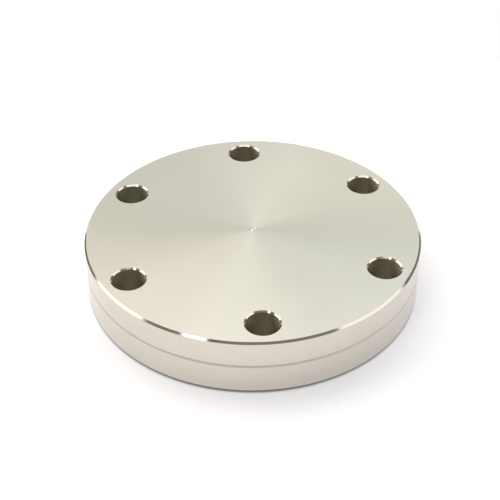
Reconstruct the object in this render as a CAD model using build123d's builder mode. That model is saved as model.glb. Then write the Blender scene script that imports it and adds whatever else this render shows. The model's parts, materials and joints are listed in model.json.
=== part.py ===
from build123d import *
import os
from math import radians, tan

# Blind vacuum flange of the knife-edge kind, 2.75 inch size (DN 40), turned from one piece
# of stainless steel bar. It has no bore: it closes off a port.
#
# Frame: the origin is at the centre of the bolting face, with +Z up through the disc to the
# plain back. The knife edge faces down, so the flange lies on its bolting face as on a bench.
# The leak-check grooves run along X, and a bolt hole lies on each side of them.
#
# The radii add up from the seal outwards: knife edge, shelf for the gasket, land, bolt hole,
# land, rim. A change to one of them carries all that lies outside it along.

# ---- Driving dimensions, in millimetres and degrees ----
thickness = 12.7            # bolting face to back face, 1/2 inch
knife_diameter = 41.9       # circle of the knife edge's tip
gasket_shelf = 3.2          # from the tip out to the wall that holds the gasket
bolt_hole_diameter = 6.6    # clearance for an M6 or a 1/4 inch bolt
inner_land = 1.9            # from the gasket wall out to the bolt holes
outer_land = 2.275          # from the bolt holes out to the rim
bolt_count = 6

knife_depth = 0.65          # the tip lies this far under the bolting face
knife_height = 0.6          # the tip stands this far above the floor round it
knife_slope = 20            # the outer flank's angle to the floor; the inner flank is upright
knife_tip_radius = 0.08
gasket_wall_break = 0.15    # chamfer at the mouth of the gasket's recess

groove_width = 3.0          # leak-check grooves, from the gasket's recess out through the rim
groove_depth = 1.2

front_edge_chamfer = 0.7    # outer edge at the bolting face
back_edge_chamfer = 0.4     # outer edge at the plain back
bolt_hole_chamfer = 0.3     # both ends of each hole

# The rim is turned from both sides, and the two cuts meet in a thin line.
rim_line_height = 6.8       # middle of that line above the bolting face
rim_line_width = 0.6
rim_line_depth = 0.08

# Where the facing tool reaches the middle of the back, it leaves a shallow dimple with a pip
# in it.
centre_mark_diameter = 1.6
centre_mark_depth = 0.2
centre_pip_diameter = 0.8
centre_pip_height = 0.15    # less than the depth, so the back stays flat for a straight edge

# ---- Sizes that follow ----
knife_radius = knife_diameter / 2
gasket_radius = knife_radius + gasket_shelf
bolt_hole_radius = bolt_hole_diameter / 2
bolt_circle_radius = gasket_radius + inner_land + bolt_hole_radius
outer_radius = bolt_circle_radius + bolt_hole_radius + outer_land

floor_depth = knife_depth + knife_height
flank_foot_radius = knife_radius + knife_height / tan(radians(knife_slope))

bolt_pitch_angle = 360 / bolt_count

centre_mark_radius = centre_mark_diameter / 2
centre_floor_height = thickness - centre_mark_depth

# Each groove lies halfway between two bolt holes, the second across from the first. Its
# cutter starts over the shelf, clear of the knife edge's flank, and runs out past the rim.
groove_angles = [0, bolt_pitch_angle * (bolt_count // 2)]
groove_start_radius = gasket_radius - gasket_shelf / 4
groove_end_radius = outer_radius + groove_width
groove_middle_radius = (groove_start_radius + groove_end_radius) / 2

# ---- Blind flange: one turned disc, bored for its bolts, with two milled grooves ----
with BuildPart() as blind_flange:
    # Half of the section, from the axis out to the rim, spun about the axis.
    with BuildSketch(Plane.XZ) as section:
        with BuildLine():
            Polyline(
                (0, floor_depth),
                (knife_radius, floor_depth),
                (knife_radius, knife_depth),
                (flank_foot_radius, floor_depth),
                (gasket_radius, floor_depth),
                (gasket_radius, gasket_wall_break),
                (gasket_radius + gasket_wall_break, 0),
                (outer_radius - front_edge_chamfer, 0),
                (outer_radius, front_edge_chamfer),
                (outer_radius, rim_line_height - rim_line_width / 2),
                (outer_radius - rim_line_depth, rim_line_height),
                (outer_radius, rim_line_height + rim_line_width / 2),
                (outer_radius, thickness - back_edge_chamfer),
                (outer_radius - back_edge_chamfer, thickness),
                (centre_mark_radius, thickness),
                (centre_mark_radius - centre_mark_depth, centre_floor_height),
                (centre_pip_diameter / 2, centre_floor_height),
                (0, centre_floor_height + centre_pip_height),
                close=True,
            )
        make_face()
        knife_tip = section.vertices().sort_by_distance((knife_radius, 0, knife_depth))[0]
        fillet(knife_tip, radius=knife_tip_radius)
    revolve(axis=Axis.Z)

    # Bolt holes, right through, then broken at both faces.
    with Locations(Plane.XY.offset(thickness)):
        with PolarLocations(bolt_circle_radius, bolt_count, start_angle=bolt_pitch_angle / 2):
            Hole(bolt_hole_radius)
    hole_mouths = (
        blind_flange.edges()
        .filter_by(GeomType.CIRCLE)
        .filter_by(lambda edge: abs(edge.radius - bolt_hole_radius) < 1e-4)
    )
    chamfer(hole_mouths, length=bolt_hole_chamfer)

    # Leak-check grooves: helium sprayed at the rim reaches the outside of the gasket here.
    with BuildSketch(Plane.XY) as grooves:
        for angle in groove_angles:
            with PolarLocations(groove_middle_radius, 1, start_angle=angle):
                Rectangle(groove_end_radius - groove_start_radius, groove_width)
    extrude(amount=groove_depth, mode=Mode.SUBTRACT)

blind_flange.part.label = "blind_flange"

os.makedirs("parts", exist_ok=True)
export_step(blind_flange.part, "parts/blind_flange.step")

print("outer diameter", round(2 * outer_radius, 3), "mm")
print("bolt circle", round(2 * bolt_circle_radius, 3), "mm")
print("gasket recess", round(2 * gasket_radius, 3), "mm")
print("volume", round(blind_flange.part.volume, 1), "mm3")
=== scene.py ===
# %% [markdown]
# # A blind vacuum flange, 2.75 inch size
#
# This flange closes a port on a vacuum chamber. It is one disc, turned on a lathe from
# stainless steel bar: a plain back, a rim with its edges broken, six bolt holes, and on the
# front a knife edge that bites into a copper gasket. It lies here on its front, back up.
#
# The lesson makes the disc as a machinist would, cut by cut, and then gives each surface the
# finish that its own tool leaves. The whole look of the part comes from those finishes, since
# bare steel has hardly any colour of its own.

# %% Load the fixed frame
import json
import math

import bmesh
import bpy
from mathutils import Matrix, Vector


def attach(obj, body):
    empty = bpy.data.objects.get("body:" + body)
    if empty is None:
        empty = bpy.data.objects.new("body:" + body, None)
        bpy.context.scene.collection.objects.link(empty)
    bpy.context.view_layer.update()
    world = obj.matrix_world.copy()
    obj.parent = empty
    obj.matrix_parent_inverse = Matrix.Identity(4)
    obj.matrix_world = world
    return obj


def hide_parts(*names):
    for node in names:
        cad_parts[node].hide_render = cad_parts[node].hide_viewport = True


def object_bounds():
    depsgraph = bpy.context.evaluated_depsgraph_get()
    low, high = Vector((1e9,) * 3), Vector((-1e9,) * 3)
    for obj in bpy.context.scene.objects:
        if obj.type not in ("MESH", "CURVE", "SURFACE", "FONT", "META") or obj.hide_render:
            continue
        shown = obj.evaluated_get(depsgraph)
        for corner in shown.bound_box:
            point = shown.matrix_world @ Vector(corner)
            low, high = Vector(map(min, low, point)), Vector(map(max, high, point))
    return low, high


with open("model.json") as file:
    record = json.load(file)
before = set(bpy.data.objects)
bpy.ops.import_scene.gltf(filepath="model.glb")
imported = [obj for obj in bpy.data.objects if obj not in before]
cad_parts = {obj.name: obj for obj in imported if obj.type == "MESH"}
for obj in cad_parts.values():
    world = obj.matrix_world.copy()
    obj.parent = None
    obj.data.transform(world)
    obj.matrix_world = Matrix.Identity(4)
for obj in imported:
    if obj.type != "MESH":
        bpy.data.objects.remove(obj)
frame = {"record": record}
cad_low, cad_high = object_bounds()

MM = 0.001                      # one millimetre in Blender's metres
print("CAD box, mm:", [round(side / MM, 2) for side in cad_high - cad_low])

# %% [markdown]
# ## Sizes
#
# The overall sizes and the bolt circle are read from the frame, so the disc always fits it.
# The small cuts aren't in the frame's record. Each is named in the cell that makes it, and has
# the standard size for this flange, the same as the solid has.

# %% Overall sizes and the bolt circle
outer_radius = cad_high.x
thickness = cad_high.z

mounts = {mount["name"]: mount for mount in frame["record"]["mounts"]}
bolts = mounts["bolt_holes"]["dims"]
bolt_circle_radius = bolts["pcd_mm"] / 2 * MM
bolt_hole_radius = bolts["hole_r_mm"] * MM
bolt_count = bolts["count"]

print("disc, mm:", round(2 * outer_radius / MM, 2), "across,", round(thickness / MM, 2), "thick")
print(bolt_count, "bolt holes on a circle of, mm:", bolts["pcd_mm"])

# %% [markdown]
# ## Choosing what to cut
#
# An operator in edit mode acts on all that is selected. So each cut starts by choosing its
# faces or edges in code, by where they are and which way they face, and nothing else. Doing it
# by place and not by number keeps the steps right when a size changes.

# %% Helpers that choose faces and edges
def start_piece(name):
    """Names the new primitive, puts its place into its mesh and opens it in edit mode."""
    piece = bpy.context.object
    piece.name = name
    bpy.ops.object.transform_apply(location=True, rotation=True, scale=True)
    bpy.ops.object.mode_set(mode="EDIT")
    return piece


def choose_faces(piece, wanted):
    """Selects only the faces for which wanted(middle, normal) is true."""
    bpy.ops.mesh.select_mode(type="FACE")
    bpy.ops.mesh.select_all(action="DESELECT")
    mesh = bmesh.from_edit_mesh(piece.data)
    for face in mesh.faces:
        face.select_set(wanted(face.calc_center_median(), face.normal))
    bmesh.update_edit_mesh(piece.data)


def choose_edges(piece, wanted):
    """Selects only the edges for which wanted(end, other end) is true."""
    bpy.ops.mesh.select_mode(type="EDGE")
    bpy.ops.mesh.select_all(action="DESELECT")
    mesh = bmesh.from_edit_mesh(piece.data)
    for edge in mesh.edges:
        edge.select_set(wanted(edge.verts[0].co, edge.verts[1].co))
    bmesh.update_edit_mesh(piece.data)


def near(value, target, slack=0.01 * MM):
    """Whether a length is the wanted one, within a hundredth of a millimetre."""
    return abs(value - target) < slack


def under_middle(middle, normal):
    """Whether a face looks down and has its middle on the Z axis."""
    on_axis = near(math.hypot(middle.x, middle.y), 0, 0.1 * MM)
    return on_axis and normal.z < -0.9


def count(piece):
    """Faces and triangles of a piece, for the printed notes."""
    piece.data.calc_loop_triangles()
    return len(piece.data.polygons), len(piece.data.loop_triangles)


bpy.ops.object.select_all(action="DESELECT")
print("nothing is selected:", not bpy.context.selected_objects)

# %% [markdown]
# ## The blank
#
# The real part starts as a slice of round bar, faced on both sides. A cylinder with many sides
# is the same thing. A spun outline would give the disc too, but cutting a blank keeps each
# step the size of a real cut, and the flat faces stay whole.

# %% Turn the blank and break its edges
round_sides = 288               # each is under 0.8 mm long, so the outline looks round
front_edge_chamfer = 0.7 * MM
back_edge_chamfer = 0.4 * MM

bpy.ops.mesh.primitive_cylinder_add(
    vertices=round_sides,
    radius=outer_radius,
    depth=thickness,
    location=(0, 0, thickness / 2),
)
disc = start_piece("flange_disc")

for height, width in ((0, front_edge_chamfer), (thickness, back_edge_chamfer)):
    choose_edges(disc, lambda a, b: near(a.z, height) and near(b.z, height))
    bpy.ops.mesh.bevel(offset=width, segments=1, affect="EDGES")

bpy.ops.object.mode_set(mode="OBJECT")
print("blank with broken edges:", count(disc))

# %% [markdown]
# ## The line round the rim
#
# The rim can't be turned in one go, because the chuck holds part of it. The disc is turned
# over, the second cut meets the first, and a thin line is left. It is a shallow vee here. A
# bisect adds a loop of edges at each lip and one between them, and that one is drawn in.

# %% Cut the line round the rim
rim_line_height = 6.8 * MM
rim_line_width = 0.6 * MM
rim_line_depth = 0.08 * MM

bpy.ops.object.mode_set(mode="EDIT")
line_loops = [
    (rim_line_height - rim_line_width / 2, 0),
    (rim_line_height + rim_line_width / 2, 0),
    (rim_line_height, rim_line_depth),
]
for height, depth in line_loops:
    bpy.ops.mesh.select_all(action="SELECT")
    bpy.ops.mesh.bisect(plane_co=(0, 0, height), plane_no=(0, 0, 1))
    smaller = (outer_radius - depth) / outer_radius
    bpy.ops.transform.resize(value=(smaller, smaller, 1), center_override=(0, 0, height))
bpy.ops.object.mode_set(mode="OBJECT")
print("rim line at", round(rim_line_height / MM, 2), "mm:", count(disc))

# %% [markdown]
# ## The front: gasket recess and knife edge
#
# The front is hidden while the flange lies on it, and is cut all the same. From the outside
# in: a wall that holds the gasket, a floor, a flank that climbs at 20 degrees to the sharp
# tip, and an upright wall down to the middle. Insets and extrudes follow those cuts, and a
# small bevel takes the tip's last sharpness.

# %% Sizes of the seal
gasket_radius = 24.15 * MM
gasket_wall_break = 0.15 * MM
mouth_radius = gasket_radius + gasket_wall_break

knife_radius = 20.95 * MM
knife_depth = 0.65 * MM         # from the front down to the sharp tip
knife_height = 0.6 * MM         # from the recess's floor up to the tip
knife_slope = math.radians(20)
knife_tip_width = 0.06 * MM
flank_foot_radius = knife_radius + knife_height / math.tan(knife_slope)
print("the flank meets the floor at radius, mm:", round(flank_foot_radius / MM, 2))

# %% Cut the front
def inset_front(from_radius, to_radius, outwards=0.0):
    """Draws the middle face in from one radius to the next, and out along its normal."""
    choose_faces(disc, under_middle)
    bpy.ops.mesh.inset(thickness=from_radius - to_radius, depth=outwards)


def sink_front(depth):
    """Pushes the middle face straight into the disc."""
    choose_faces(disc, under_middle)
    bpy.ops.mesh.extrude_region_move(TRANSFORM_OT_translate={"value": (0, 0, depth)})


bpy.ops.object.mode_set(mode="EDIT")
inset_front(outer_radius - front_edge_chamfer, mouth_radius)
inset_front(mouth_radius, gasket_radius, -gasket_wall_break)
sink_front(knife_depth + knife_height - gasket_wall_break)
inset_front(gasket_radius, flank_foot_radius)
inset_front(flank_foot_radius, knife_radius, knife_height)
sink_front(knife_height)

choose_edges(
    disc,
    lambda a, b: all(
        near(math.hypot(end.x, end.y), knife_radius) and near(end.z, knife_depth)
        for end in (a, b)
    ),
)
bpy.ops.mesh.bevel(offset=knife_tip_width, segments=3, affect="EDGES")
bpy.ops.object.mode_set(mode="OBJECT")
print("front with its knife edge:", count(disc))

# %% [markdown]
# ## The bolt hole cutters
#
# A drill makes the bolt holes and a countersink breaks their mouths. One cutter does both: a
# rod whose two ends flare. It is modelled once and copied round the bolt circle.

# %% Model the bolt hole cutter
bolt_hole_chamfer = 0.3 * MM
bore_sides = 72
overrun = 0.5 * MM              # how far a cutter runs past the surface that it cuts


def flare(piece, height, step):
    """Pulls one end face of the rod out by step and widens it as a countersink does."""
    choose_faces(piece, lambda middle, normal: near(middle.z, height))
    bpy.ops.mesh.extrude_region_move(TRANSFORM_OT_translate={"value": (0, 0, step)})
    wider = (bolt_hole_radius + abs(step)) / bolt_hole_radius
    bpy.ops.transform.resize(value=(wider, wider, 1), center_override=(0, 0, height))


bpy.ops.object.select_all(action="DESELECT")
bpy.ops.mesh.primitive_cylinder_add(
    vertices=bore_sides,
    radius=bolt_hole_radius,
    depth=thickness - 2 * bolt_hole_chamfer,
    location=(0, 0, thickness / 2),
)
drill = start_piece("drill")
flare(drill, thickness - bolt_hole_chamfer, bolt_hole_chamfer + overrun)
flare(drill, bolt_hole_chamfer, -bolt_hole_chamfer - overrun)
bpy.ops.object.mode_set(mode="OBJECT")
print("flared rod:", count(drill))

# %% Copy it round the bolt circle
bolt_places = []
cutters = []
for step in range(bolt_count):
    angle = 2 * math.pi * (step + 0.5) / bolt_count
    place = Vector((math.cos(angle), math.sin(angle), 0)) * bolt_circle_radius
    copy = bpy.data.objects.new(f"drill_{step + 1}", drill.data.copy())
    copy.location = place
    bpy.context.collection.objects.link(copy)
    bolt_places.append(place)
    cutters.append(copy)
bpy.data.objects.remove(drill)
print("bolt hole cutters:", len(cutters))

# %% [markdown]
# ## The leak-check grooves
#
# A leak is found by blowing helium at the joint. Two grooves, milled from the recess to the rim,
# let it reach the outside of the gasket. Each cutter is a plain block, half of it in the air
# below the front.

# %% Model the groove cutters
groove_width = 3.0 * MM
groove_depth = 1.2 * MM
groove_start_radius = gasket_radius - (gasket_radius - knife_radius) / 4
groove_end_radius = outer_radius + groove_width
for name, side in (("groove_right", 1), ("groove_left", -1)):
    bpy.ops.mesh.primitive_cube_add(
        size=1,
        location=(side * (groove_start_radius + groove_end_radius) / 2, 0, 0),
        scale=(groove_end_radius - groove_start_radius, groove_width, 2 * groove_depth),
    )
    cutters.append(start_piece(name))
    bpy.ops.object.mode_set(mode="OBJECT")
print("cutters so far:", [cutter.name for cutter in cutters])

# %% [markdown]
# ## The mark in the middle of the back
#
# A facing tool cuts badly at the very centre, where the steel hardly moves past it. It leaves a
# shallow dimple with a pip in it. Its cutter is the same shape upside down: a short plug with a
# tapered end, and a low cone hollowed into that end.

# %% Model the cutter for the centre mark
centre_mark_radius = 0.8 * MM
centre_mark_depth = 0.2 * MM
centre_floor_radius = centre_mark_radius - centre_mark_depth
centre_pip_radius = 0.4 * MM
centre_pip_height = 0.15 * MM
centre_tip_radius = 0.05 * MM

bpy.ops.object.select_all(action="DESELECT")
bpy.ops.mesh.primitive_cylinder_add(
    vertices=48,
    radius=centre_mark_radius,
    depth=overrun,
    location=(0, 0, thickness + overrun / 2),
)
mark = start_piece("centre_mark")
choose_faces(mark, under_middle)
bpy.ops.mesh.extrude_region_move(TRANSFORM_OT_translate={"value": (0, 0, -centre_mark_depth)})
narrower = centre_floor_radius / centre_mark_radius
bpy.ops.transform.resize(
    value=(narrower, narrower, 1), center_override=(0, 0, thickness - centre_mark_depth)
)

pip_climb = centre_pip_height * (1 - centre_tip_radius / centre_pip_radius)
for from_radius, to_radius, climb in (
    (centre_floor_radius, centre_pip_radius, 0),
    (centre_pip_radius, centre_tip_radius, pip_climb),
):
    choose_faces(mark, under_middle)
    bpy.ops.mesh.inset(thickness=from_radius - to_radius, depth=-climb)
bpy.ops.object.mode_set(mode="OBJECT")
cutters.append(mark)
print("centre mark cutter:", count(mark))

# %% [markdown]
# ## Cutting
#
# Each cutter is taken away from the disc by a boolean modifier. It is applied at once, so that
# the next cut starts from real faces. Points that fall together are merged at the end.

# %% Cut the disc with each of them
merge_distance = 0.001 * MM
for cutter in cutters:
    bpy.ops.object.select_all(action="DESELECT")
    disc.select_set(True)
    bpy.context.view_layer.objects.active = disc
    cut = disc.modifiers.new(cutter.name, "BOOLEAN")
    cut.operation = "DIFFERENCE"
    cut.solver = "EXACT"
    cut.object = cutter
    bpy.ops.object.modifier_apply(modifier=cut.name)
    bpy.data.objects.remove(cutter)

bpy.ops.object.mode_set(mode="EDIT")
bpy.ops.mesh.select_all(action="SELECT")
bpy.ops.mesh.remove_doubles(threshold=merge_distance)
bpy.ops.object.mode_set(mode="OBJECT")
print(len(cutters), "cuts made:", count(disc))

# %% [markdown]
# ## Edges that catch the light
#
# No machined edge is perfectly sharp: a deburring tool takes the last few hundredths of a
# millimetre off. A small bevel does the same and gives each edge its thin bright line. Its
# hardened normals keep the flat faces flat right up to it.

# %% Break the last sharpness of the edges
edge_break = 0.04 * MM
sharp_from = math.radians(12)   # flatter bends, such as between a round's sides, are smooth

bpy.ops.object.select_all(action="DESELECT")
disc.select_set(True)
bpy.context.view_layer.objects.active = disc
bpy.ops.object.shade_smooth_by_angle(angle=sharp_from)

soften = disc.modifiers.new("edge_break", "BEVEL")
soften.width = edge_break
soften.segments = 2
soften.limit_method = "ANGLE"
soften.angle_limit = sharp_from
soften.harden_normals = True
bpy.ops.object.modifier_apply(modifier=soften.name)
print("finished disc:", count(disc))

# %% [markdown]
# ## Nodes for the finishes
#
# Every finish is a small tree of nodes. One function adds a node with its settings and links,
# and another turns a colour that is written as sRGB hex into the linear values that Blender
# works in.

# %% Helpers for materials
def linear(hex_colour):
    """sRGB hex, such as #c8c4bc, to linear red, green, blue and an alpha of 1."""
    channels = [int(hex_colour[i:i + 2], 16) / 255 for i in (1, 3, 5)]
    light = [c / 12.92 if c <= 0.04045 else ((c + 0.055) / 1.055) ** 2.4 for c in channels]
    return (*light, 1.0)


def add_node(tree, kind, settings=None, inputs=None):
    """Adds a node, gives it its settings, and links or sets its inputs by name or number."""
    node = tree.nodes.new(kind)
    for name, value in (settings or {}).items():
        setattr(node, name, value)
    for key, value in (inputs or {}).items():
        if isinstance(value, bpy.types.NodeSocket):
            tree.links.new(value, node.inputs[key])
        else:
            node.inputs[key].default_value = value
    return node


def new_material(name):
    """An empty node material, and its tree."""
    material = bpy.data.materials.new(name)
    material.use_nodes = True
    material.node_tree.nodes.clear()
    return material, material.node_tree


print("white is", linear("#ffffff"))

# %% [markdown]
# ## What a lathe leaves on steel
#
# A turning tool leaves a spiral of very fine ridges. They run round the axis, so they scatter
# light across themselves: outwards on a flat face, and up and down on the rim. That is why a
# turned disc shows a soft bow tie of light and shade that meets in the middle.
#
# The shader calls this anisotropy, and its tangent is the way the light is spread. On the flat
# faces that is the line from the axis to the point, and on the walls it is the Z axis. The
# ridges themselves are about 0.1 mm apart, too fine to see from a step away, so only their
# slow drift from pass to pass is drawn, 0.3 to 1 mm wide.

# %% A function for turned steel
wipe_mark = 14 * MM             # width of the soft patches that handling leaves
wipe_dulling = 0.02             # how far they move the roughness, up and down


def turned_steel(name, colour, roughness, anisotropy, spread, ridge_mm, ridge_depth_mm):
    """Stainless steel whose ridges run round the Z axis.

    spread is "out" where the ridges spread light outwards, or "up" on upright walls.
    """
    material, tree = new_material(name)
    place = add_node(tree, "ShaderNodeTexCoord").outputs["Object"]
    flat = add_node(
        tree,
        "ShaderNodeVectorMath",
        {"operation": "MULTIPLY"},
        {0: place, 1: (1, 1, 0)},
    ).outputs["Vector"]
    radius = add_node(
        tree, "ShaderNodeVectorMath", {"operation": "LENGTH"}, {0: flat}
    ).outputs["Value"]
    height = add_node(tree, "ShaderNodeSeparateXYZ", None, {0: place}).outputs["Z"]
    across = radius if spread == "out" else height

    # Ridges: noise along one line only, so that it is the same all the way round.
    ridges = add_node(
        tree,
        "ShaderNodeTexNoise",
        {"noise_dimensions": "1D"},
        {"W": across, "Scale": 1 / (ridge_mm * MM), "Detail": 2, "Roughness": 0.6},
    ).outputs["Fac"]
    bump = add_node(
        tree,
        "ShaderNodeBump",
        None,
        {"Strength": 1.0, "Distance": ridge_depth_mm * MM, "Height": ridges},
    ).outputs["Normal"]
    if spread == "out":
        tangent = flat
    else:
        tangent = add_node(
            tree, "ShaderNodeCombineXYZ", None, {"X": 0, "Y": 0, "Z": 1}
        ).outputs["Vector"]

    # Passes and wipe marks: the finish is a little duller in soft patches.
    patches = add_node(
        tree,
        "ShaderNodeTexNoise",
        None,
        {"Vector": place, "Scale": 1 / wipe_mark, "Detail": 3, "Roughness": 0.55},
    ).outputs["Fac"]
    dulled = add_node(
        tree,
        "ShaderNodeMapRange",
        None,
        {
            "Value": patches,
            "From Min": 0.3,
            "From Max": 0.7,
            "To Min": roughness - wipe_dulling,
            "To Max": roughness + wipe_dulling,
        },
    ).outputs["Result"]

    steel = add_node(
        tree,
        "ShaderNodeBsdfPrincipled",
        None,
        {
            "Base Color": linear(colour),
            "Metallic": 1.0,
            "Roughness": dulled,
            "Anisotropic": anisotropy,
            "Tangent": tangent,
            "Normal": bump,
        },
    )
    add_node(tree, "ShaderNodeOutputMaterial", None, {"Surface": steel.outputs["BSDF"]})
    return material


print("soft patches of the finish, mm across:", round(wipe_mark / MM))

# %% [markdown]
# ## The six finishes
#
# All of it is stainless steel of grade 304, a slightly warm grey. Only the tool differs, and
# with it how blurred the mirror is and which way the blur runs. The colours differ a little
# too, because a rough surface hides some light in its own ridges. The line round the rim and
# the drilled walls are darker still: that is painted shade of the vee and of the deep bores.

# %% Make the finishes
# Faced with a broad feed: satin, and the light is drawn out from the centre in a bow tie.
faced = turned_steel("face_turned_stainless_304", "#d6d4cc", 0.30, 0.9, "out", 1.0, 0.0004)
# Turned with a longer, finer pass: the rim mirrors the bench more clearly.
rim = turned_steel("rim_turned_stainless_304", "#d5cfc5", 0.20, 0.5, "up", 0.5, 0.0002)
# Turned with the finest feed of all: the seal, and the small mark in the middle of the back.
seal = turned_steel("seal_turned_stainless_304", "#d6d4ce", 0.18, 0.6, "out", 0.6, 0.0001)
# Pressed in with a chamfering tool: a narrow band, bright or dark as the room it mirrors.
chamfer = turned_steel("chamfer_cut_stainless_304", "#dbd8d1", 0.10, 0.0, "out", 0.3, 0.0)
# Scored with a pointed tool: the line round the rim is a little duller than the rim itself,
# and its darker colour is painted shade of the vee.
line = turned_steel("line_scored_painted_shade_stainless_304", "#c6bfb4", 0.38, 0.3, "up", 0.4, 0.0002)
# Drilled with a twist drill: the dullest wall, scored round and round. Its dark, brownish
# colour is painted shade of the deep bores.
drilled = turned_steel("drilled_painted_shade_stainless_304", "#aea893", 0.55, 0.8, "up", 0.4, 0.001)

finishes = [faced, rim, seal, chamfer, line, drilled]
print("finishes:", [material.name for material in finishes])

# %% [markdown]
# ## Each face gets its own finish
#
# All the finishes are on one piece of steel, so they are material slots of one mesh. A face is
# given its slot by where it lies, which is how a machinist would tell the tools apart.

# %% Give the faces their finishes
def finish_of(middle, normal):
    """The finish of a face, from its middle and its normal."""
    radius = math.hypot(middle.x, middle.y)
    to_bolt = min((Vector((middle.x, middle.y, 0)) - place).length for place in bolt_places)
    level = abs(normal.z) > 0.98        # within about 11 degrees of lying flat
    upright = abs(normal.z) < 0.3       # within about 17 degrees of standing up
    if middle.z > thickness / 2 and radius < centre_mark_radius + edge_break:
        return seal
    if to_bolt < bolt_hole_radius + bolt_hole_chamfer + 2 * edge_break and not level:
        in_bore = to_bolt < bolt_hole_radius + 0.6 * bolt_hole_chamfer
        return drilled if upright and in_bore else chamfer
    if radius > outer_radius - front_edge_chamfer - edge_break and not level:
        if near(middle.z, rim_line_height, rim_line_width / 2):
            return line
        return rim if upright else chamfer
    if middle.z < thickness / 2 and radius < gasket_radius + gasket_wall_break:
        return seal
    return faced


for material in finishes:
    disc.data.materials.append(material)

tally = {material.name: 0 for material in finishes}
for polygon in disc.data.polygons:
    material = finish_of(polygon.center, polygon.normal)
    polygon.material_index = finishes.index(material)
    tally[material.name] += 1
print("faces of each finish:", tally)

# %% [markdown]
# ## The disc in the frame
#
# The whole part is one piece of steel with nothing that moves. So the disc rides on the one
# body, and is shown in place of the plain solid.

# %% Tie the disc to the frame
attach(disc, "root")
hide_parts("blind_flange")
print("the disc stands for blind_flange")

# %% [markdown]
# ## The bench
#
# Bright steel shows what is round it, so the studio matters as much as the steel. The disc lies
# on a sheet of white paper, and its rim mirrors that paper. The sheet is cut out under the
# disc, where the cut can't be seen, so that light reaches the front face when the flange is
# looked at from below.

# %% Lay the sheet
bench_radius = 120 * MM
seat_radius = outer_radius - 2 * front_edge_chamfer

bpy.ops.object.select_all(action="DESELECT")
bpy.ops.mesh.primitive_circle_add(
    vertices=96, radius=bench_radius, fill_type="NGON", location=(0, 0, 0)
)
bench = bpy.context.object
bench.name = "bench"
bpy.ops.object.mode_set(mode="EDIT")
bpy.ops.mesh.select_all(action="SELECT")
bpy.ops.mesh.inset(thickness=bench_radius - seat_radius)
bpy.ops.mesh.delete(type="FACE")
bpy.ops.object.mode_set(mode="OBJECT")
print("sheet, mm:", round(bench_radius / MM), "in radius, cut out to", round(seat_radius / MM, 2))

# %% [markdown]
# ## The paper
#
# The paper is a plain diffuse white. Where the camera or the steel looks at it, a little glow
# is added, which brings it up to the white of the background and leaves the shadow on it. Hardly
# any light gets in where the disc's edge overhangs the sheet: an ambient occlusion node finds
# those points and darkens the paper's colour and its glow there, a painted contact shadow that
# draws the thin dark line of contact. From underneath the sheet is clear, so that the front of
# the flange can be looked at.

# %% Make the paper
overhang_reach = 0.6 * MM
sheet_glow = 0.3

white_sheet, tree = new_material("white_sheet")
paths = add_node(tree, "ShaderNodeLightPath")
geometry = add_node(tree, "ShaderNodeNewGeometry")
open_air = add_node(
    tree, "ShaderNodeAmbientOcclusion", {"samples": 8}, {"Distance": overhang_reach}
).outputs["AO"]
# Painted contact shadow: the paper's colour goes to black where the AO node finds the overhang.
painted_shadow_paper_colour = add_node(
    tree,
    "ShaderNodeMix",
    {"data_type": "RGBA"},
    {0: open_air, 6: (0, 0, 0, 1), 7: linear("#f6f7ff")},
).outputs[2]
paper = add_node(tree, "ShaderNodeBsdfDiffuse", None, {"Color": painted_shadow_paper_colour})
# The glow fades there too, as part of the same painted contact shadow.
glow_strength = add_node(
    tree, "ShaderNodeMath", {"operation": "MULTIPLY"}, {0: open_air, 1: sheet_glow}
).outputs["Value"]
glow = add_node(
    tree, "ShaderNodeEmission", None, {"Color": (1, 1, 1, 1), "Strength": glow_strength}
)
lifted = add_node(
    tree, "ShaderNodeAddShader", None, {0: paper.outputs[0], 1: glow.outputs[0]}
)
looked_at = add_node(
    tree,
    "ShaderNodeMath",
    {"operation": "MAXIMUM"},
    {0: paths.outputs["Is Camera Ray"], 1: paths.outputs["Is Glossy Ray"]},
)
sheet = add_node(
    tree,
    "ShaderNodeMixShader",
    None,
    {0: looked_at.outputs[0], 1: paper.outputs[0], 2: lifted.outputs[0]},
)
# A ray that has passed through the sheet once goes on through it.
passed = add_node(
    tree,
    "ShaderNodeMath",
    {"operation": "GREATER_THAN"},
    {0: paths.outputs["Transparent Depth"], 1: 0.5},
)
from_below = add_node(
    tree,
    "ShaderNodeMath",
    {"operation": "MAXIMUM"},
    {0: geometry.outputs["Backfacing"], 1: passed.outputs[0]},
)
clear = add_node(tree, "ShaderNodeBsdfTransparent")
both = add_node(
    tree,
    "ShaderNodeMixShader",
    None,
    {0: from_below.outputs[0], 1: sheet.outputs[0], 2: clear.outputs[0]},
)
add_node(tree, "ShaderNodeOutputMaterial", None, {"Surface": both.outputs[0]})
bench.data.materials.append(white_sheet)
print("paper nodes:", len(tree.nodes))

# %% [markdown]
# ## The dome of light
#
# The steel mirrors a room, and the world's own colour stands for that room. It is worked out
# from the direction in which a ray leaves: soft round lights, and patches with a compass
# heading and a height, such as a wall or a window. Headings are counted as the camera's are: 0
# is the side that the flange's -Y faces. A lamp would show as a hard shape in the steel. The
# dome's lights fade out softly, so it is used alone.

# %% Start the dome
world = bpy.data.worlds.new("soft_dome")
bpy.context.scene.world = world
world.use_nodes = True
dome = world.node_tree
dome.nodes.clear()

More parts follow.
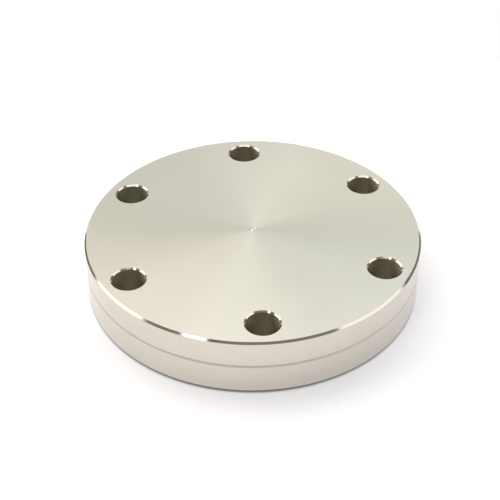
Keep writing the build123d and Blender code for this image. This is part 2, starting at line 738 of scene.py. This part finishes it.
direction = add_node(dome, "ShaderNodeTexCoord").outputs["Generated"]
level_part = add_node(
    dome, "ShaderNodeVectorMath", {"operation": "MULTIPLY"}, {0: direction, 1: (1, 1, 0)}
).outputs["Vector"]
heading_vector = add_node(
    dome, "ShaderNodeVectorMath", {"operation": "NORMALIZE"}, {0: level_part}
).outputs["Vector"]
rise = add_node(dome, "ShaderNodeSeparateXYZ", None, {0: direction}).outputs["Z"]
elevation = add_node(
    dome, "ShaderNodeMath", {"operation": "ARCSINE"}, {0: rise}
).outputs["Value"]
print("direction nodes:", len(dome.nodes))

# %% A function for a soft round light
def light_of(hex_colour, strength):
    """The light of a surface with this colour, at this strength."""
    red, green, blue, _ = linear(hex_colour)
    return (red * strength, green * strength, blue * strength, 1.0)


def soft_light(so_far, heading, height, spread, hex_colour, strength):
    """Adds a round light to the dome, brightest in one direction and fading like a bell."""
    turn = math.radians(heading)
    tilt = math.radians(height)
    facing = (
        math.cos(tilt) * math.sin(turn),
        -math.cos(tilt) * math.cos(turn),
        math.sin(tilt),
    )
    sharpness = 1 / math.radians(spread) ** 2
    closeness = add_node(
        dome, "ShaderNodeVectorMath", {"operation": "DOT_PRODUCT"}, {0: direction, 1: facing}
    ).outputs["Value"]
    exponent = add_node(
        dome,
        "ShaderNodeMath",
        {"operation": "MULTIPLY_ADD"},
        {0: closeness, 1: sharpness, 2: -sharpness},
    ).outputs["Value"]
    bell = add_node(
        dome, "ShaderNodeMath", {"operation": "EXPONENT"}, {0: exponent}
    ).outputs["Value"]
    return add_node(
        dome,
        "ShaderNodeVectorMath",
        {"operation": "MULTIPLY_ADD"},
        {0: bell, 1: light_of(hex_colour, strength)[:3], 2: so_far},
    ).outputs["Vector"]


print("a full white light is", light_of("#ffffff", 1.0))

# %% A function for a patch on the dome
def patch(so_far, sides, heights, hex_colour, strength):
    """Paints a patch with soft edges over the dome so far. All its sizes are in degrees.

    sides is its heading, half its width and how far its upright edges fade, or None where it
    goes all the way round. heights is its lower edge, its upper edge and how far they fade.
    """
    low, high, fade = (math.radians(angle) for angle in heights)
    edges = [(elevation, low - fade, low), (elevation, high + fade, high)]
    if sides:
        turn, half_width, fade = (math.radians(angle) for angle in sides)
        closeness = add_node(
            dome,
            "ShaderNodeVectorMath",
            {"operation": "DOT_PRODUCT"},
            {0: heading_vector, 1: (math.sin(turn), -math.cos(turn), 0)},
        ).outputs["Value"]
        edges.append((closeness, math.cos(half_width + fade), math.cos(half_width)))

    inside = 1.0
    for measure, all_out, all_in in edges:
        ramp = add_node(
            dome,
            "ShaderNodeMapRange",
            {"interpolation_type": "SMOOTHSTEP"},
            {"Value": measure, "From Min": all_out, "From Max": all_in},
        ).outputs["Result"]
        inside = add_node(
            dome, "ShaderNodeMath", {"operation": "MULTIPLY"}, {0: inside, 1: ramp}
        ).outputs["Value"]
    return add_node(
        dome,
        "ShaderNodeMix",
        {"data_type": "RGBA", "clamp_factor": True},
        {0: inside, 6: so_far, 7: light_of(hex_colour, strength)},
    ).outputs[2]


print("dome nodes before the room is painted:", len(dome.nodes))

# %% [markdown]
# ## What the room holds
#
# The room is dim, with three soft lights: the lit ceiling behind the disc, a warm one low on
# the left and a smaller, cooler one on the right. They give the back its tones. The narrow
# chamfers mirror small parts of the room sharply, so they need the rest: a dark horizon beyond
# the bench, two pale walls, the dark side where the camera stands, and a window.

# %% Paint the room
# A dim, slightly blue grey all round, as linear red, green and blue.
room = add_node(
    dome, "ShaderNodeCombineXYZ", None, {"X": 0.12, "Y": 0.12, "Z": 0.13}
).outputs["Vector"]

# Each light: heading, height and spread in degrees, colour, strength.
for soft_one in (
    (-168, 69, 15, "#fffaf4", 2.3),     # ceiling
    (-127, 31, 18, "#fff6e2", 3.0),     # left
    (152, 44, 13, "#f8fff6", 1.35),     # right
):
    room = soft_light(room, *soft_one)

# Each patch: (heading, half width, fade), (lower edge, upper edge, fade), colour, strength.
for painted in (
    ((178, 75, 10), (-20, 12, 3), "#8a8478", 1.0),      # horizon
    (None, (-100, -30, 5), "#f4f2ee", 0.6),             # underneath the bench
    ((-112, 32, 3), (18, 35, 4), "#fff8ec", 1.85),      # left wall
    ((84, 27, 4), (19, 43, 4), "#fff8ee", 1.4),         # right wall
    ((5, 50, 6), (53, 62, 3), "#fffaf2", 1.4),          # edge of the ceiling
    ((12, 38, 6), (30, 50, 2), "#8f8a7e", 0.95),        # dark side, by the camera
    ((-44.5, 7.5, 1), (35, 60, 6), "#ffffff", 2.6),     # window
    ((-67, 10, 2), (25, 46, 4), "#8f8a7e", 0.9),        # dark doorway next to it
):
    room = patch(room, *painted)
print("dome nodes with the room:", len(dome.nodes))

# %% [markdown]
# ## The white background
#
# Light Path tells what kind of ray asks. The camera's own rays see plain white in place of the
# room. The rays that light and mirror the room in the steel see the room itself.

# %% Finish the dome
seen = add_node(dome, "ShaderNodeLightPath").outputs["Is Camera Ray"]
shown = add_node(
    dome,
    "ShaderNodeMix",
    {"data_type": "RGBA", "clamp_factor": True},
    {0: seen, 6: room, 7: (1, 1, 1, 1)},
).outputs[2]
background = add_node(dome, "ShaderNodeBackground", None, {"Color": shown, "Strength": 1.0})
add_node(dome, "ShaderNodeOutputWorld", None, {"Surface": background.outputs[0]})
print("all dome nodes:", len(dome.nodes))

# %% [markdown]
# ## The camera
#
# The camera looks down at 38 degrees from close by, so the near side of the disc looks larger
# than the far side. It stands a little to one side of a bolt hole. It is aimed a little above
# the disc, and the lens is shifted by a tenth of the picture to put the disc in its place.

# %% Place the camera
camera_heading = -3.62          # degrees round from the nearest bolt hole
camera_elevation = 38.02
camera_distance = 230.5 * MM    # from the middle of the disc's thickness
aim_height = 20.0 * MM          # what the lens points at, above the bench
aim_side = -0.41 * MM
lens = 78.08                    # mm
sensor_width = 36               # mm
shift_right = -0.001            # in parts of the picture's width
shift_up = -0.099
roll = math.radians(-0.3)

turn = math.radians(camera_heading)
rise_angle = math.radians(camera_elevation)
sideways = Vector((math.cos(turn), math.sin(turn), 0))
towards = Vector((math.sin(turn), -math.cos(turn), 0))
middle = Vector((0, 0, thickness / 2))
stand = middle + camera_distance * (
    towards * math.cos(rise_angle) + Vector((0, 0, math.sin(rise_angle)))
)
aim = sideways * aim_side + Vector((0, 0, aim_height))

camera_data = bpy.data.cameras.new("camera")
camera_data.lens = lens
camera_data.sensor_width = sensor_width
camera_data.shift_x = shift_right
camera_data.shift_y = shift_up
camera_data.clip_start = 10 * MM
camera = bpy.data.objects.new("camera", camera_data)
bpy.context.collection.objects.link(camera)
camera.location = stand
level_look = (aim - stand).to_track_quat("-Z", "Y").to_matrix()
camera.rotation_euler = (level_look @ Matrix.Rotation(roll, 3, "Z")).to_euler()
bpy.context.scene.camera = camera
bpy.context.scene.view_settings.view_transform = "Standard"
print("camera stands at, mm:", [round(place / MM, 1) for place in stand])
